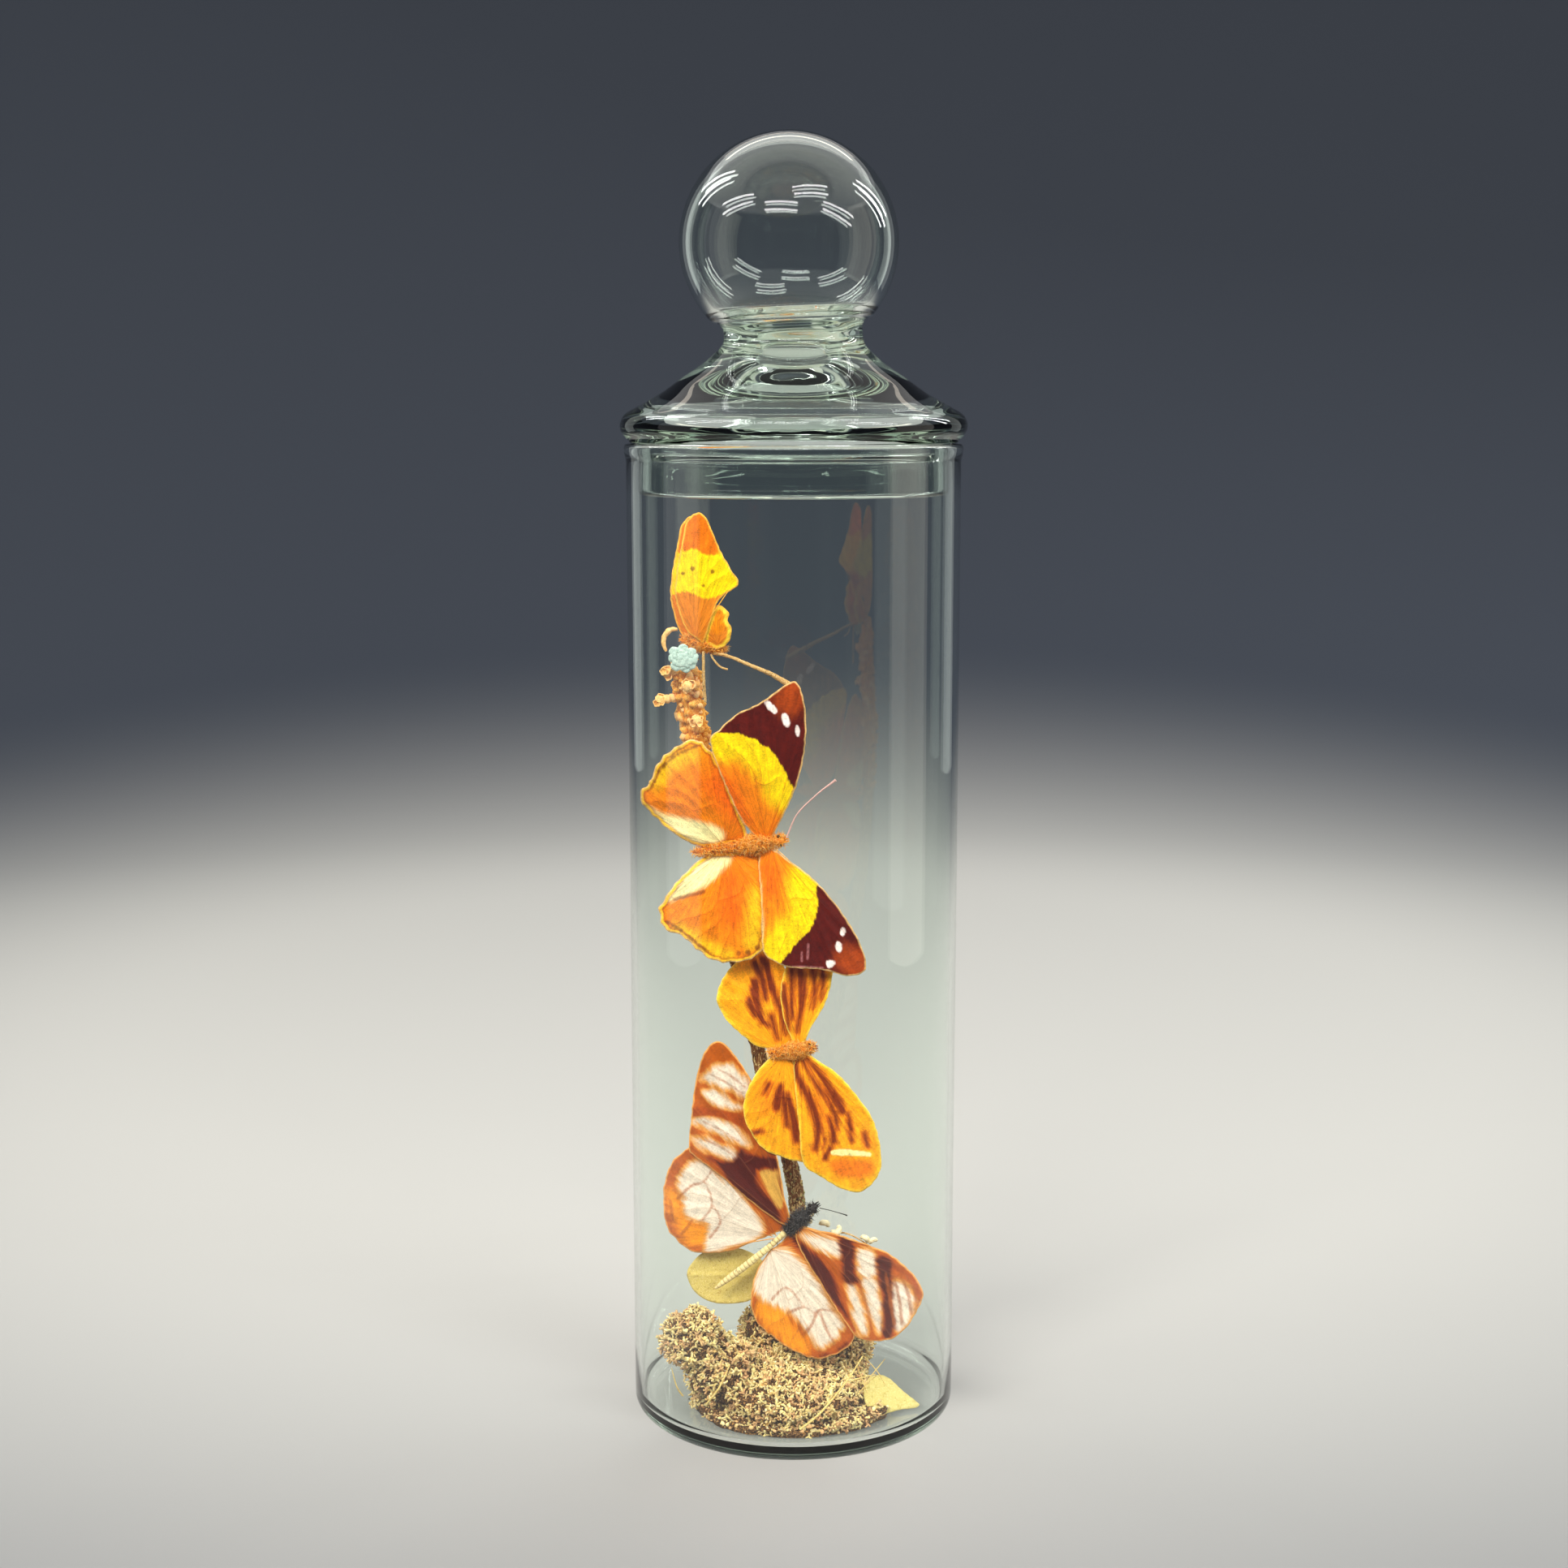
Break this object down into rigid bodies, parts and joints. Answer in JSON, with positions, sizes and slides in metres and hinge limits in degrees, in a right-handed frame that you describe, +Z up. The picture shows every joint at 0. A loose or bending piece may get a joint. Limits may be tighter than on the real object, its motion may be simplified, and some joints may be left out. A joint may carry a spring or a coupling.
{
  "type": "insects in glass jar",
  "caption": "Tall clear glass jar with a hollow ball-topped lid, holding dried butterflies on a lichen-grown stick over dry moss and leaves.",
  "frame": {"origin": "middle of the jar's foot, on the surface that it stands on", "axes": "+Z up along the jar's axis; the butterflies' backs face -Y, and the golden butterfly's head points to +X"},
  "size_m": [0.1036, 0.1036, 0.3913],
  "materials": {
    "clear_glass": "clear soda glass with a faint green cast",
    "golden_wing": "matt scaled wing, orange and yellow with brown tips",
    "striped_wing": "matt scaled wing, orange with brown streaks",
    "window_wing": "thin wing with pale clear panes and brown bars",
    "yellow_wing": "matt scaled wing, yellow with an orange tip",
    "insect_body": "furry dry insect body",
    "bark": "rough bark crusted with lichen",
    "dry_moss": "dry straw-coloured moss",
    "dry_leaf": "dry pale yellow leaf",
    "blue_lichen": "powdery blue-green lichen",
    "orange_lichen": "powdery orange lichen",
    "seed": "smooth dry seed"
  },
  "bodies": {
    "root": {"jar": "clear_glass", "lid": "clear_glass", "moss_mound": "dry_moss", "branch": "bark", "side_twig": "bark", "fork_twig": "bark", "thin_stem": "bark", "bark_curl": "bark", "seed_sprig": "bark", "seed_1": "seed", "seed_2": "seed", "seed_3": "seed", "seed_4": "seed", "seed_5": "seed", "orange_lichen_1": "orange_lichen", "orange_lichen_2": "orange_lichen", "orange_lichen_3": "orange_lichen", "orange_lichen_4": "orange_lichen", "blue_lichen": "blue_lichen", "round_leaf": "dry_leaf", "pointed_leaf": "dry_leaf", "golden_butterfly_body": "insect_body", "golden_butterfly_left_forewing": "golden_wing", "golden_butterfly_left_hindwing": "golden_wing", "golden_butterfly_right_forewing": "golden_wing", "golden_butterfly_right_hindwing": "golden_wing", "golden_butterfly_antenna": "insect_body", "striped_butterfly_body": "insect_body", "striped_butterfly_left_forewing": "striped_wing", "striped_butterfly_left_hindwing": "striped_wing", "striped_butterfly_right_forewing": "striped_wing", "striped_butterfly_right_hindwing": "striped_wing", "window_butterfly_body": "insect_body", "window_butterfly_left_forewing": "window_wing", "window_butterfly_left_hindwing": "window_wing", "window_butterfly_right_forewing": "window_wing", "window_butterfly_right_hindwing": "window_wing", "window_butterfly_antenna": "insect_body", "yellow_butterfly_body": "insect_body", "yellow_butterfly_left_forewing": "yellow_wing", "yellow_butterfly_left_hindwing": "yellow_wing", "yellow_butterfly_right_forewing": "yellow_wing", "yellow_butterfly_right_hindwing": "yellow_wing"}
  },
  "joints": []
}
